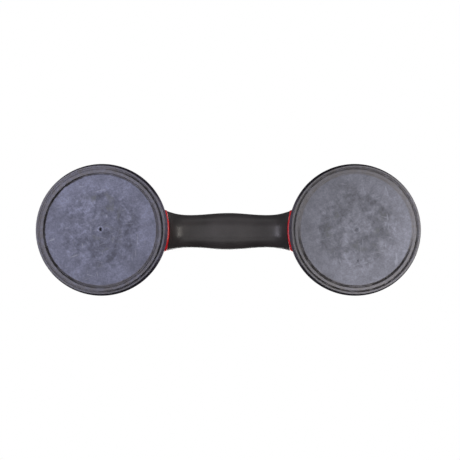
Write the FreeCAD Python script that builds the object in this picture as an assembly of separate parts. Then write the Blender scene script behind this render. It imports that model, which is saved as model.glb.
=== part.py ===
import FreeCAD, Part
import math
import os

# Double suction lifter for floor tiles, in millimetres.
# +Z is up and +X runs along the handle. The origin is under the middle of the handle,
# in the plane of the pads' sealing lips, so the tool stands on its two pads.
# The right-hand head is modelled about its own axis, with +X pointing away from the
# handle. The left-hand head is the same head turned half a turn about Z.

Vector = FreeCAD.Vector
UP = Vector(0, 0, 1)

# ---- Driving dimensions: overall ----
hub_spacing = 230.0             # between the axes of the two heads
pad_diameter = 120.0            # over the widest part of the rubber rim

# ---- Rubber pad ----
rim_height = 12.5               # top of the rubber rim
rim_widest_height = 8.5         # where the rim is as wide as the pad
rim_lean = 2.1                  # lip's outer edge, inside the widest radius
lip_width = 1.5                 # sealing lip, which touches the tile
outer_groove_width = 1.8
ridge_width = 2.6               # low ridge between the two grooves
inner_groove_width = 1.9
groove_depth = 2.0
ridge_recess = 0.3              # ridge, above the lip
face_recess = 0.5               # face, above the lip
face_thickness = 4.3            # rubber behind the face
sprue_radius = 1.5              # moulding pip in the middle of the face
sprue_depth = 0.7
rim_wall = 2.5                  # rubber outside the skirt
rim_floor = 7.0                 # height of the skirt's foot in the rim
rim_inner_top = 10.0
rim_inner_wall = 2.2            # rubber inside the skirt
rim_fit = 0.1                   # side clearance of the skirt in the rim
bead_width = 2.4                # rubber bead round the insert plate

# ---- Insert plate, nut and stud ----
seat_gap = 0.2                  # between the rubber's back and the plate
plate_radius = 35.0
plate_thickness = 2.5
plate_clearance = 0.3           # plate to the rubber bead
bond_hole_radius = 3.0
bond_hole_count = 8
bond_hole_circle = 26.0         # radius of the circle of bond holes
plate_boss_wall = 4.0           # plate's boss round the stud
plate_boss_height = 6.0
stud_radius = 6.0
stud_foot_gap = 0.5             # stud's foot above the plate's underside
nut_height = 5.0
eye_wall = 4.5                  # eye round the pin
pin_radius = 3.0
pin_running_fit = 0.05          # radial, pin in the eye

# ---- Cam mechanism ----
pull_stroke = 5.0               # lift of the pad's middle
lever_travel = 80.0             # degrees, from released to locked
eye_clearance = 1.0             # eye to wear plate, released
cam_gap = 0.25                  # cam to wear plate, over the whole travel

# ---- Head (dome), with its bush, spring and wear plate ----
wall = 3.2                      # moulded wall
shoulder_height = 17.0          # where the skirt turns into the dome
shoulder_round = 9.0
dome_break_share = 0.6          # middle of the dome's curve, from the boss out to the skirt
dome_break_rise = 0.656         # its height, from the shoulder up to the crown
dome_round = 40.0
crown_height = 33.0             # dome's height where it meets the top boss
boss_radius = 24.0
boss_rise = 5.0                 # top of the boss above the crown
boss_ring_height = 1.2          # ring round the wear plate
boss_ring_wall = 2.6
crown_round = 6.0
rib_count = 8
rib_thickness = 2.4
rib_foot_height = 15.0          # underside of the ribs at the skirt
bush_wall = 1.95
bush_running_fit = 0.05         # radial, stud in the bush
bush_flange_lip = 1.3           # bush's flange beyond the spring
bush_flange_thickness = 1.5
nut_end_gap = 1.0               # nut to bush, locked
spring_clearance = 1.6          # nut's corners to the coil
spring_wire = 2.2
spring_dead_pitch = 2.3         # closed turn at each end
spring_active_turns = 2.5
spring_wire_sides = 12
wear_plate_thickness = 2.0
wear_plate_fit = 0.2            # wear plate in its ring

# ---- Lever ----
fork_cheek = 8.6
fork_side_gap = 0.4             # cheek to eye
fork_slot_end = 8.4             # slot's end, outward of the pin
lever_length = 60.0             # pin axis to tip
lever_waist_width = 25.0
lever_tip_width = 34.0
lever_skin = 2.8
lever_rib_count = 3
lever_rib_thickness = 1.8
lever_heel_round = 2.5          # corner behind the cam
lever_edge_round = 0.7
thumb_groove_radius = 0.9
pin_head_rim = 1.6              # pin's head beyond the pin
pin_head_height = 2.0
pin_tail = 2.6                  # pin beyond the fork, with the clip's groove
pin_groove_depth = 0.6
clip_thickness = 0.8
clip_rim = 2.2                  # clip beyond the pin

# ---- Handle ----
grip_end_inset = 0.3            # concave ends of the grip, inside the pads' widest circle
grip_end_gap = 0.2              # grip to neck
grip_mid_width = 35.4
grip_mid_low = 41.0             # underside in the middle
grip_mid_high = 73.0
grip_waist_share = 0.67         # place of the waists, from the middle out to the ends
grip_waist_width = 31.4
grip_waist_low = 42.0
grip_waist_high = 72.0
grip_end_width = 37.8
grip_end_low = 31.0
grip_end_high = 71.0
grip_corner_depth = 2.8         # how far the corners of the concave ends reach past their middle
grip_flare_power = 2.2
grip_roundness = 0.8            # corner radius, as a share of the half width
grip_sections = 15
bar_width = 20.0                # bar of the body inside the grip
bar_fit = 0.15
neck_overhang = 0.4             # body stands this proud of the grip's ends
neck_foot_round = 6.0           # between the neck and the dome
neck_end_round = 0.6            # edge round the grip's end
screw_share = 0.54              # place of the screws, from the middle out to the ends
screw_radius = 2.0
screw_head_radius = 4.0
screw_head_height = 2.4
screw_recess = 3.2              # counterbore below the top of the grip
screw_seat = 1.25               # grip under the screw's head
screw_length = 23.0
screw_clearance = 0.3           # screw in the bar

# ---- Worked out from the driving dimensions ----
hub_x = hub_spacing / 2
pad_radius = pad_diameter / 2
skirt_radius = pad_radius - rim_wall
lip_outer = pad_radius - rim_lean
lip_inner = lip_outer - lip_width
outer_groove_inner = lip_inner - outer_groove_width
ridge_inner = outer_groove_inner - ridge_width
face_radius = ridge_inner - inner_groove_width
face_top = face_recess + face_thickness
plate_low = face_top + seat_gap
plate_top = plate_low + plate_thickness
plate_boss_radius = stud_radius + plate_boss_wall
plate_boss_top = plate_top + plate_boss_height
nut_corner_radius = math.sqrt(3) * stud_radius   # the nut is three stud radii across flats
nut_top = plate_boss_top + nut_height
bush_radius_in = stud_radius + bush_running_fit
bush_radius = bush_radius_in + bush_wall
spring_mean_radius = nut_corner_radius + spring_clearance + spring_wire / 2
spring_low = plate_top
spring_high = nut_top + pull_stroke + nut_end_gap
bush_flange_radius = spring_mean_radius + spring_wire / 2 + bush_flange_lip
inner_boss_radius = bush_flange_radius - 1
inner_boss_low = spring_high + bush_flange_thickness
boss_top = crown_height + boss_rise
inner_ceiling = boss_top - wall - 1.8
dome_break_radius = boss_radius + dome_break_share * (skirt_radius - boss_radius)
dome_break_height = shoulder_height + dome_break_rise * (crown_height - shoulder_height)
wear_plate_top = boss_top + wear_plate_thickness
eye_width = 2 * stud_radius     # flat-sided eye, along Y
eye_radius = pin_radius + eye_wall
cam_small_radius = eye_radius + eye_clearance
pin_height = wear_plate_top + cam_small_radius
cam_base_radius = pull_stroke / math.radians(lever_travel)
cam_released = cam_small_radius - cam_gap
cam_locked = cam_released + pull_stroke
eye_half = eye_width / 2
fork_width = eye_width + 2 * (fork_side_gap + fork_cheek)
grip_end_radius = pad_radius - grip_end_inset
grip_half_length = hub_x - grip_end_radius
grip_waist_place = grip_waist_share * grip_half_length
grip_parting_height = (grip_mid_low + grip_mid_high) / 2
screw_head_low = grip_mid_high - screw_recess - screw_head_height
bar_half_height = screw_head_low - screw_seat - bar_fit - grip_parting_height
screw_places = (-screw_share * grip_half_length, screw_share * grip_half_length)


# ---- Shape helpers ----
def rounded_wire(corners, to_space):
    """Closed wire through corners (u, v, radius); each corner is rounded by its radius."""
    count = len(corners)
    stretches = []
    for i, (u, v, radius) in enumerate(corners):
        corner = Vector(u, v, 0)
        before = (Vector(*corners[i - 1][:2], 0) - corner).normalize()
        after = (Vector(*corners[(i + 1) % count][:2], 0) - corner).normalize()
        if radius == 0:
            stretches.append((corner, None, corner))
            continue
        half_angle = before.getAngle(after) / 2
        reach = radius / math.tan(half_angle)
        centre = corner + (before + after).normalize() * (radius / math.sin(half_angle))
        middle = centre + (corner - centre).normalize() * radius
        stretches.append((corner + before * reach, middle, corner + after * reach))
    edges = []
    for i, (start, middle, end) in enumerate(stretches):
        left = stretches[i - 1][2]
        if (start - left).Length > 1e-6:
            edges.append(Part.makeLine(to_space(left.x, left.y), to_space(start.x, start.y)))
        if middle is not None:
            through = [to_space(point.x, point.y) for point in (start, middle, end)]
            edges.append(Part.Arc(*through).toShape())
    return Part.Wire(edges)


def revolved(corners):
    """Solid of revolution about Z of an outline (radius, height, corner radius)."""
    wire = rounded_wire(corners, lambda u, v: Vector(u, 0, v))
    return Part.Face(wire).revolve(Vector(0, 0, 0), UP, 360)


def extruded_plan(corners, low, high):
    """Upright solid on an outline (x, y, corner radius)."""
    wire = rounded_wire(corners, lambda u, v: Vector(u, v, low))
    return Part.Face(wire).extrude(Vector(0, 0, high - low))


def extruded_side(wire, width):
    """Solid on a wire in the XZ plane, centred on Y."""
    face = Part.Face(wire)
    face.translate(Vector(0, -width / 2, 0))
    return face.extrude(Vector(0, width, 0))


def cylinder(radius, low, high):
    return Part.makeCylinder(radius, high - low, Vector(0, 0, low))


def cross_cylinder(radius, x, z, width):
    """Cylinder along Y, centred on the XZ plane."""
    return Part.makeCylinder(radius, width, Vector(x, -width / 2, z), Vector(0, 1, 0))


def box(low, high):
    size = Vector(*high) - Vector(*low)
    return Part.makeBox(size.x, size.y, size.z, Vector(*low))


def ring(outer, inner, low, high):
    return cylinder(outer, low, high).cut(cylinder(inner, low - 1, high + 1))


def section(x, half_width, low, high, radius):
    """Rounded rectangle across the handle at x."""
    corners = [
        (half_width, low, radius),
        (half_width, high, radius),
        (-half_width, high, radius),
        (-half_width, low, radius),
    ]
    return rounded_wire(corners, lambda u, v: Vector(x, u, v))


def spline(points):
    """Smooth curve in the XZ plane through points (x, z)."""
    curve = Part.BSplineCurve()
    curve.interpolate([Vector(x, 0, z) for x, z in points])
    return curve


def sharp_edges(shape):
    """Edges of a solid where its two faces turn by more than sharp_angle degrees."""
    sharp_angle = 12
    edges = []
    for edge in shape.Edges:
        middle = edge.valueAt((edge.FirstParameter + edge.LastParameter) / 2)
        faces = shape.ancestorsOfType(edge, Part.Face)
        normals = [face.normalAt(*face.Surface.parameter(middle)) for face in faces]
        if len(normals) == 2 and math.degrees(normals[0].getAngle(normals[1])) > sharp_angle:
            edges.append(edge)
    return edges


def on_head(shape, side):
    """Head-frame shape moved to the right (+1) or left (-1) head."""
    placed = shape.copy()
    placed.translate(Vector(hub_x, 0, 0))
    if side < 0:
        placed.rotate(Vector(0, 0, 0), UP, 180)
    return placed


# ---- Suction pad ----
def suction_pad():
    channel_outer = skirt_radius + rim_fit
    channel_inner = skirt_radius - wall - rim_fit
    inner_wall = channel_inner - rim_inner_wall
    bead_inner = plate_radius + plate_clearance
    bead_outer = bead_inner + bead_width
    taper = 0.35                # the grooves narrow towards their floors
    return revolved([
        (0, face_recess + sprue_depth, 0),
        (sprue_radius, face_recess + sprue_depth, 0),
        (sprue_radius, face_recess, 0),
        (face_radius, face_recess, 0.6),
        (face_radius + taper, face_recess + groove_depth, 0.3),
        (ridge_inner - taper, face_recess + groove_depth, 0.3),
        (ridge_inner, ridge_recess, 0.5),
        (outer_groove_inner, ridge_recess, 0.5),
        (outer_groove_inner + taper, ridge_recess + groove_depth, 0.3),
        (lip_inner - taper, ridge_recess + groove_depth, 0.3),
        (lip_inner, 0, 0),
        (lip_outer, 0, 0.4),
        (pad_radius, rim_widest_height, 2.0),
        (pad_radius - 0.4, rim_height, 0.9),
        (channel_outer, rim_height, 0.5),
        (channel_outer, rim_floor, 0),
        (channel_inner, rim_floor, 0),
        (channel_inner, rim_inner_top, 0.5),
        (inner_wall, rim_inner_top, 0.8),
        (inner_wall, face_top, 1.2),
        (bead_outer, face_top, 0.6),
        (bead_outer, plate_top, 0.6),
        (bead_inner, plate_top, 0.4),
        (bead_inner, face_top, 0),
        (0, face_top, 0),
    ])


# ---- Insert plate, stud and nut ----
def insert_plate():
    plate = revolved([
        (0, plate_low, 0),
        (plate_radius, plate_low, 0.5),
        (plate_radius, plate_top, 0.8),
        (plate_boss_radius, plate_top, 1.0),
        (plate_boss_radius, plate_boss_top, 0.6),
        (0, plate_boss_top, 0),
    ])
    plate = plate.cut(cylinder(stud_radius, plate_low + stud_foot_gap, plate_boss_top + 1))
    hole = cylinder(bond_hole_radius, plate_low - 1, plate_top + 1)
    hole.translate(Vector(bond_hole_circle, 0, 0))
    for i in range(bond_hole_count):
        turned = hole.copy()
        turned.rotate(Vector(0, 0, 0), UP, (i + 0.5) * 360 / bond_hole_count)
        plate = plate.cut(turned)
    return plate


def pull_stud():
    shank = revolved([
        (0, plate_low + stud_foot_gap, 0),
        (stud_radius, plate_low + stud_foot_gap, 0.5),
        (stud_radius, pin_height, 0),
        (0, pin_height, 0),
    ])
    eye = cross_cylinder(eye_radius, 0, pin_height, eye_width)
    rim = [e for e in eye.Edges if isinstance(e.Curve, Part.Circle)]
    eye = eye.makeFillet(0.8, rim)
    stud = shank.fuse(eye).removeSplitter()
    return stud.cut(cross_cylinder(pin_radius + pin_running_fit, 0, pin_height, eye_width + 2))


def lock_nut():
    hexagon = [
        (
            nut_corner_radius * math.cos(math.radians(60 * i)),
            nut_corner_radius * math.sin(math.radians(60 * i)),
            0,
        )
        for i in range(6)
    ]
    nut = extruded_plan(hexagon, plate_boss_top, nut_top)
    chamfer = 1.0
    cone = revolved([
        (0, plate_boss_top, 0),
        (nut_corner_radius - chamfer, plate_boss_top, 0),
        (nut_corner_radius, plate_boss_top + chamfer / 2, 0),
        (nut_corner_radius, nut_top - chamfer / 2, 0),
        (nut_corner_radius - chamfer, nut_top, 0),
        (0, nut_top, 0),
    ])
    bore = cylinder(stud_radius, plate_boss_top - 1, nut_top + 1)
    return nut.common(cone).cut(bore)


# ---- Spring, bush and wear plate ----
def return_spring():
    """Compression coil with one closed turn at each end, on the plate and under the bush."""
    rise = spring_high - spring_low - spring_wire
    active_rise = rise - 2 * spring_dead_pitch
    runs = (
        (spring_dead_pitch, spring_dead_pitch, 0),
        (active_rise / spring_active_turns, active_rise, 0),
        (spring_dead_pitch, spring_dead_pitch, spring_active_turns),
    )
    edges = []
    foot = spring_low + spring_wire / 2
    for pitch, height, turns in runs:
        helix = Part.makeHelix(pitch, height, spring_mean_radius)
        helix.rotate(Vector(0, 0, 0), UP, 360 * turns)
        helix.translate(Vector(0, 0, foot))
        edges += helix.Edges
        foot += height
    path = Part.Wire(Part.__sortEdges__(edges))
    slope = math.atan(spring_dead_pitch / (2 * math.pi * spring_mean_radius))
    along = Vector(0, math.cos(slope), math.sin(slope))
    across = Vector(1, 0, 0)
    start = Vector(spring_mean_radius, 0, spring_low + spring_wire / 2)
    corner = spring_wire / 2 / math.cos(math.pi / spring_wire_sides)
    points = []
    for i in range(spring_wire_sides):
        angle = 2 * math.pi * (i + 0.5) / spring_wire_sides
        offset = across * math.cos(angle) + along.cross(across) * math.sin(angle)
        points.append(start + offset * corner)
    profile = Part.makePolygon([*points, points[0]])
    return path.makePipeShell([profile], True, True)


def guide_bush():
    return revolved([
        (bush_radius_in, spring_high, 0.3),
        (bush_flange_radius, spring_high, 0.4),
        (bush_flange_radius, inner_boss_low, 0),
        (bush_radius, inner_boss_low, 0),
        (bush_radius, boss_top, 0),
        (bush_radius_in, boss_top, 0.3),
    ])


def wear_plate():
    outer = boss_radius - boss_ring_wall - wear_plate_fit
    return revolved([
        (bush_radius_in + 0.5, boss_top, 0),
        (outer, boss_top, 0),
        (outer, wear_plate_top, 0.6),
        (bush_radius_in + 0.5, wear_plate_top, 0.4),
    ])


# ---- Cam lever, drawn locked: pin axis at the origin, arm along +X ----
def lever_profile():
    """Side outline: involute cam, round back, curved arm with an upturned tip."""
    travel = math.radians(lever_travel)

    def cam_point(swing):
        """Point of the cam that touches the plate, swing radians before locked."""
        reach = cam_locked - cam_base_radius * swing
        x = -reach * math.sin(swing) + cam_base_radius * math.cos(swing)
        z = -reach * math.cos(swing) - cam_base_radius * math.sin(swing)
        return (x, z)

    def back_point(swing):
        return (-cam_released * math.sin(swing), -cam_released * math.cos(swing))

    def vector(point):
        return Vector(point[0], 0, point[1])

    steps = 8
    cam_points = [cam_point(travel * i / steps) for i in range(steps + 1)]
    back_start = back_point(travel)
    back_middle = back_point((travel + math.pi) / 2)
    back_end = back_point(math.pi)
    tip_top = (lever_length - 1.0, 7.0)
    tip_low = (lever_length - 0.4, 3.6)
    top = spline([back_end, (14.0, 6.2), (27.0, 2.2), (42.0, 1.8), tip_top])
    heel = (15.0, -cam_locked)
    under = spline([tip_low, (46.0, -2.4), (33.0, -4.6), (23.0, -9.4), heel])
    tip_nose = (lever_length, 5.4)
    edges = [
        Part.makeLine(vector(heel), vector(cam_points[0])),
        spline(cam_points).toShape(),
        Part.makeLine(vector(cam_points[-1]), vector(back_start)),
        Part.Arc(vector(back_start), vector(back_middle), vector(back_end)).toShape(),
        top.toShape(),
        Part.Arc(vector(tip_top), vector(tip_nose), vector(tip_low)).toShape(),
        under.toShape(),
    ]
    return Part.Wire(edges), top


def lever_plan(inset):
    """Plan outline of the lever, brought in all round by inset."""
    half_fork = fork_width / 2 - inset
    half_waist = lever_waist_width / 2 - inset
    half_tip = lever_tip_width / 2 - inset
    right = [
        (-cam_small_radius - 2, half_fork, 0),
        (13.0, half_fork, 8),
        (28.0, half_waist, 14),
        (lever_length * 0.8, half_tip, 12),
        (lever_length - inset, half_tip, 9),
    ]
    left = [(x, -y, radius) for x, y, radius in reversed(right)]
    return right + left


def lever():
    outline, top = lever_profile()
    body = extruded_side(outline, fork_width + 20)
    heel = [e for e in sharp_edges(body) if e.BoundBox.YLength > fork_width
            and abs(e.CenterOfGravity.z + cam_locked) < 0.01]
    body = body.makeFillet(lever_heel_round, heel)
    body = body.common(extruded_plan(lever_plan(0), -30, 30))
    body = body.makeFillet(lever_edge_round, sharp_edges(body))
    slot_half = eye_half + fork_side_gap
    body = body.cut(box((-20, -slot_half, -30), (fork_slot_end, slot_half, 30)))
    body = body.cut(cross_cylinder(pin_radius, 0, 0, fork_width + 2))
    body = body.cut(lever_pocket(top))
    for share in (0.62, 0.69, 0.76, 0.83):
        first, last = top.FirstParameter, top.LastParameter
        place = top.value(first + (last - first) * share)
        body = body.cut(cross_cylinder(thumb_groove_radius, place.x, place.z + 0.35, 60))
    return body.removeSplitter()


def lever_pocket(top):
    """Hollow under the arm: below the top skin, inside the side walls, between ribs."""
    start, end = 17.5, lever_length - 9.0
    first, last = top.FirstParameter, top.LastParameter
    roof = []
    for i in range(21):
        point = top.value(first + (last - first) * i / 20)
        if start + 1 < point.x < end - 1:
            roof.append((point.x, point.z - lever_skin))
    corners = [(start, -40, 0), (start, roof[0][1] + 0.6, 0), *[(x, z, 0) for x, z in roof],
               (end, roof[-1][1], 0), (end, -40, 0)]
    wire = rounded_wire(corners, lambda u, v: Vector(u, 0, v))
    pocket = extruded_side(wire, lever_tip_width)
    pocket = pocket.common(extruded_plan(lever_plan(lever_skin), -50, 30))
    gap = (end - start) / (lever_rib_count + 1)
    for i in range(1, lever_rib_count + 1):
        x = start + gap * i
        pocket = pocket.cut(box((x - lever_rib_thickness / 2, -30, -50),
                                (x + lever_rib_thickness / 2, 30, 30)))
    return pocket


def raised(shape):
    """Lever-frame shape turned up to the released position and put on the stud's eye."""
    turned = shape.copy()
    turned.rotate(Vector(0, 0, 0), Vector(0, 1, 0), -lever_travel)
    turned.translate(Vector(0, 0, pin_height))
    return turned


def lever_pin():
    """Headed pin along Y with a groove for the clip."""
    half = fork_width / 2
    pin_head_radius = pin_radius + pin_head_rim
    groove_low = half + 0.6
    outline = [
        (0, -half - pin_head_height, 0),
        (pin_head_radius, -half - pin_head_height, 0.7),
        (pin_head_radius, -half, 0),
        (pin_radius, -half, 0),
        (pin_radius, groove_low, 0),
        (pin_radius - pin_groove_depth, groove_low, 0),
        (pin_radius - pin_groove_depth, groove_low + clip_thickness, 0),
        (pin_radius, groove_low + clip_thickness, 0),
        (pin_radius, half + pin_tail, 0.5),
        (0, half + pin_tail, 0),
    ]
    pin = revolved(outline)
    pin.rotate(Vector(0, 0, 0), Vector(1, 0, 0), -90)
    return pin


def pin_clip():
    """Open retaining ring in the pin's groove."""
    low = fork_width / 2 + 0.6
    clip_radius = pin_radius + clip_rim
    clip = ring(clip_radius, pin_radius - pin_groove_depth, low, low + clip_thickness)
    mouth = (pin_radius - pin_groove_depth) * 0.8
    clip = clip.cut(box((0, -mouth, low - 1), (clip_radius + 1, mouth, low + clip_thickness + 1)))
    for angle in (100, 180, 260):
        notch = cylinder(1.0, low - 1, low + clip_thickness + 1)
        notch.translate(Vector(pin_radius + 0.9, 0, 0))
        notch.rotate(Vector(0, 0, 0), UP, angle)
        clip = clip.cut(notch)
    clip.rotate(Vector(0, 0, 0), Vector(1, 0, 0), -90)
    return clip


# ---- Handle ----
def grip_shape(x):
    """Half width, underside and top of the grip at x: a belly, a waist and a flared end."""
    place = abs(x)
    if place < grip_waist_place:
        belly = math.cos(math.pi * place / (2 * grip_waist_place)) ** 2
        width = grip_waist_width + (grip_mid_width - grip_waist_width) * belly
        low = grip_waist_low + (grip_mid_low - grip_waist_low) * belly
        high = grip_waist_high + (grip_mid_high - grip_waist_high) * belly
        return width / 2, low, high
    end = grip_half_length + grip_corner_depth
    flare = ((place - grip_waist_place) / (end - grip_waist_place)) ** grip_flare_power
    width = grip_waist_width + (grip_end_width - grip_waist_width) * flare
    low = grip_waist_low + (grip_end_low - grip_waist_low) * flare
    high = grip_waist_high + (grip_end_high - grip_waist_high) * flare
    return width / 2, low, high


def grip_block():
    """Whole outer form of the grip, a little longer than its cut ends."""
    end = grip_half_length + grip_corner_depth + 1.5
    sections = []
    for i in range(grip_sections):
        x = end * (2 * i / (grip_sections - 1) - 1)
        half_width, low, high = grip_shape(x)
        sections.append(section(x, half_width, low, high, half_width * grip_roundness))
    return Part.makeLoft(sections, True, False)


def inside_ends(shape, radius):
    """Cuts a handle piece back from both heads' axes by radius."""
    for x in (-hub_x, hub_x):
        shape = shape.cut(Part.makeCylinder(radius, 200, Vector(x, 0, -20)))
    return shape


def bar(clearance):
    half_width = bar_width / 2 + clearance
    half_height = bar_half_height + clearance
    end = grip_half_length + 6
    middle = grip_parting_height
    outline = section(-end, half_width, middle - half_height, middle + half_height, 3)
    return Part.Face(outline).extrude(Vector(2 * end, 0, 0))


def grip_shells():
    block = inside_ends(grip_block(), grip_end_radius + grip_end_gap)
    block = block.cut(bar(bar_fit))
    reach = hub_x
    lower_half = box((-reach, -50, 0), (reach, 50, grip_parting_height))
    upper_half = box((-reach, -50, grip_parting_height), (reach, 50, 150))
    lower = block.common(lower_half)
    upper = block.common(upper_half)
    for x in screw_places:
        at = Vector(x, 0, 0)
        recess = cylinder(screw_head_radius + 0.2, screw_head_low, grip_mid_high + 5)
        shank = cylinder(screw_radius, screw_head_low - screw_length, screw_head_low + 1)
        recess.translate(at)
        shank.translate(at)
        upper = upper.cut(recess).cut(shank)
        lower = lower.cut(shank)
    return lower, upper


def grip_screws():
    head_high = screw_head_low + screw_head_height
    screw = revolved([
        (0, screw_head_low - screw_length, 0),
        (screw_radius, screw_head_low - screw_length, 0.6),
        (screw_radius, screw_head_low, 0),
        (screw_head_radius, screw_head_low, 0),
        (screw_head_radius, head_high, 1.0),
        (0, head_high, 0),
    ])
    for angle in (0, 90):
        slot = box((-2.2, -0.45, head_high - 1.2), (2.2, 0.45, head_high + 1))
        slot.rotate(Vector(0, 0, 0), UP, angle)
        screw = screw.cut(slot)
    screws = []
    for x in screw_places:
        placed = screw.copy()
        placed.translate(Vector(x, 0, 0))
        screws.append(placed)
    return Part.makeCompound(screws)


# ---- Body frame ----
def inset_run(corners, inset):
    """Open run of corners (u, v, radius) moved to its right-hand side by inset."""
    normals = []
    for (u0, v0, _), (u1, v1, _) in zip(corners, corners[1:]):
        length = math.hypot(u1 - u0, v1 - v0)
        normals.append(((v1 - v0) / length, (u0 - u1) / length))
    normals = [normals[0], *normals, normals[-1]]
    moved = []
    for (u, v, radius), (a, b), (c, d) in zip(corners, normals, normals[1:]):
        share = inset / (1 + a * c + b * d)
        turns_right = a * d - b * c < 0
        new_radius = radius - inset if turns_right else radius + inset
        moved.append((u + (a + c) * share, v + (b + d) * share, max(new_radius, 0)))
    return moved


def dome_run():
    """Outside of the head, from the skirt's foot up to the boss."""
    return [
        (skirt_radius, rim_floor, 0.0),
        (skirt_radius, shoulder_height, shoulder_round),
        (dome_break_radius, dome_break_height, dome_round),
        (boss_radius + 2, crown_height, crown_round),
        (boss_radius, boss_top + boss_ring_height, 1.0),
    ]


def dome_outside():
    return revolved([(0, rim_floor, 0), *dome_run(), (0, boss_top + boss_ring_height, 0)])


def dome_inside():
    """Hollow of the head, one wall inside the dome and under the boss."""
    foot, shoulder, break_, crown = inset_run(dome_run()[:4], -wall)
    slope = (crown[1] - break_[1]) / (crown[0] - break_[0])
    ceiling_radius = break_[0] + (inner_ceiling - break_[1]) / slope
    return revolved([
        (0, rim_floor - 1, 0),
        (foot[0], rim_floor - 1, 0),
        shoulder,
        break_,
        (ceiling_radius, inner_ceiling, 2),
        (0, inner_ceiling, 0),
    ])


def head_ribs(outside):
    """Radial ribs inside the head, from the bush's boss to the skirt."""
    reach = skirt_radius - wall / 2
    outline = [
        (inner_boss_radius - 1, inner_boss_low, 0),
        (bush_flange_radius + 2, inner_boss_low, 0),
        (reach, rib_foot_height, 0),
        (reach, boss_top, 0),
        (inner_boss_radius - 1, boss_top, 0),
    ]
    wire = rounded_wire(outline, lambda u, v: Vector(u, 0, v))
    rib = extruded_side(wire, rib_thickness).common(outside)
    ribs = []
    for i in range(rib_count):
        turned = rib.copy()
        turned.rotate(Vector(0, 0, 0), UP, (i + 0.5) * 360 / rib_count)
        ribs.append(turned)
    return ribs


def neck_sections(inset):
    """Sections of the neck, from the grip's end down to the head, in the head frame."""
    def across(distance, half_width, low, high, radius):
        return section(-distance, half_width - inset, low + inset, high - inset,
                       max(radius - inset, 2))

    proud = neck_overhang
    start = grip_end_radius + 1.5
    reach = start - inner_boss_radius
    end_half = grip_end_width / 2 + proud
    return [
        across(start, end_half, grip_end_low - proud, grip_end_high + proud, 12),
        across(start - 0.11 * reach, end_half + 0.3, grip_end_low - 3.0, grip_end_high - 1.0, 12),
        across(start - 0.28 * reach, end_half + 1.8, shoulder_height + 5, grip_end_high - 6.5, 12),
        across(start - 0.52 * reach, end_half + 3.0, shoulder_height - 2, boss_top + 15, 11),
        across(start - 0.78 * reach, end_half + 1.0, shoulder_height - 4, boss_top + 3.5, 9),
        across(start - reach, end_half - 3.5, shoulder_height - 4, boss_top - 1.5, 8),
    ]


def neck():
    """Swan neck that carries the grip's bar, ending in a round face against the grip."""
    loft = Part.makeLoft(neck_sections(0), True, False)
    return loft.common(cylinder(grip_end_radius, 0, 150))


def neck_hollow():
    """Coring of the neck, open into the head."""
    sections = neck_sections(wall + 0.6)[1:]
    loft = Part.makeLoft(sections, True, False)
    keep = cylinder(grip_end_radius - 7, 0, 150).cut(cylinder(inner_boss_radius + 6, 0, 150))
    return loft.common(keep)


def head_outside():
    """Dome and neck in one, rounded where they meet and round the grip's end."""
    solid = dome_outside().fuse(neck())

    def at_grip(edge):
        middle = edge.valueAt((edge.FirstParameter + edge.LastParameter) / 2)
        return abs(math.hypot(middle.x, middle.y) - grip_end_radius) < 0.5

    foot = [e for e in sharp_edges(solid) if not at_grip(e) and e.BoundBox.ZMax > rim_floor + 1]
    solid = solid.makeFillet(neck_foot_round, foot)
    return solid.makeFillet(neck_end_round, [e for e in sharp_edges(solid) if at_grip(e)])


def head():
    solid = head_outside().cut(dome_inside()).cut(neck_hollow())
    solid = solid.fuse(cylinder(inner_boss_radius, inner_boss_low, boss_top))
    solid = solid.fuse(head_ribs(dome_outside()))
    solid = solid.cut(cylinder(bush_radius, inner_boss_low - 1, boss_top + 5))
    pocket = cylinder(boss_radius - boss_ring_wall, boss_top, boss_top + 8)
    return solid.cut(pocket)


def body_frame():
    shape = head()
    frame = on_head(shape, 1).fuse(on_head(shape, -1)).fuse(bar(0))
    for x in screw_places:
        hole = cylinder(screw_radius + screw_clearance, 0, 150)
        hole.translate(Vector(x, 0, 0))
        frame = frame.cut(hole)
    return frame.removeSplitter()


# ---- Export ----
def single(shape):
    """The one solid of a shape, or its compound of solids where it has several."""
    if len(shape.Solids) == 1:
        return shape.Solids[0]
    return Part.makeCompound(shape.Solids)


def export(name, shape):
    shape = single(shape)
    box_ = shape.BoundBox
    print(f"{name:22s} solids {len(shape.Solids)} valid {shape.isValid()} volume {shape.Volume:9.0f}"
          f"  x {box_.XMin:7.1f} {box_.XMax:7.1f} y {box_.YMin:6.1f} {box_.YMax:6.1f}"
          f" z {box_.ZMin:6.1f} {box_.ZMax:6.1f}")
    shape.exportStep(f"parts/{name}.step")


def main():
    os.makedirs("parts", exist_ok=True)
    export("body_frame", body_frame())
    lower, upper = grip_shells()
    export("grip_lower_shell", lower)
    export("grip_upper_shell", upper)
    export("grip_screws", grip_screws())
    head_pieces = {
        "suction_pad": suction_pad(),
        "insert_plate": insert_plate(),
        "pull_stud": pull_stud(),
        "lock_nut": lock_nut(),
        "return_spring": return_spring(),
        "guide_bush": guide_bush(),
        "wear_plate": wear_plate(),
        "lever": raised(lever()),
        "lever_pin": raised(lever_pin()),
        "pin_clip": raised(pin_clip()),
    }
    for side_name, side in (("left", -1), ("right", 1)):
        for name, shape in head_pieces.items():
            export(f"{side_name}_{name}", on_head(shape, side))
    print(f"cam ratio {cam_base_radius / 1000:.7f} m per radian, pin height {pin_height:.2f}")


main()
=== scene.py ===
"""Looks of a double suction lifter for floor tiles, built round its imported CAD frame.

Everything is in metres, in the frame of the CAD: +Z is up, +X runs along the handle from
the left head to the right one, and the tool stands on its two pads at Z = 0. The camera
looks straight up at the undersides of the pads.
"""
import math

import bpy
from mathutils import Matrix, Vector, noise

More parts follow.
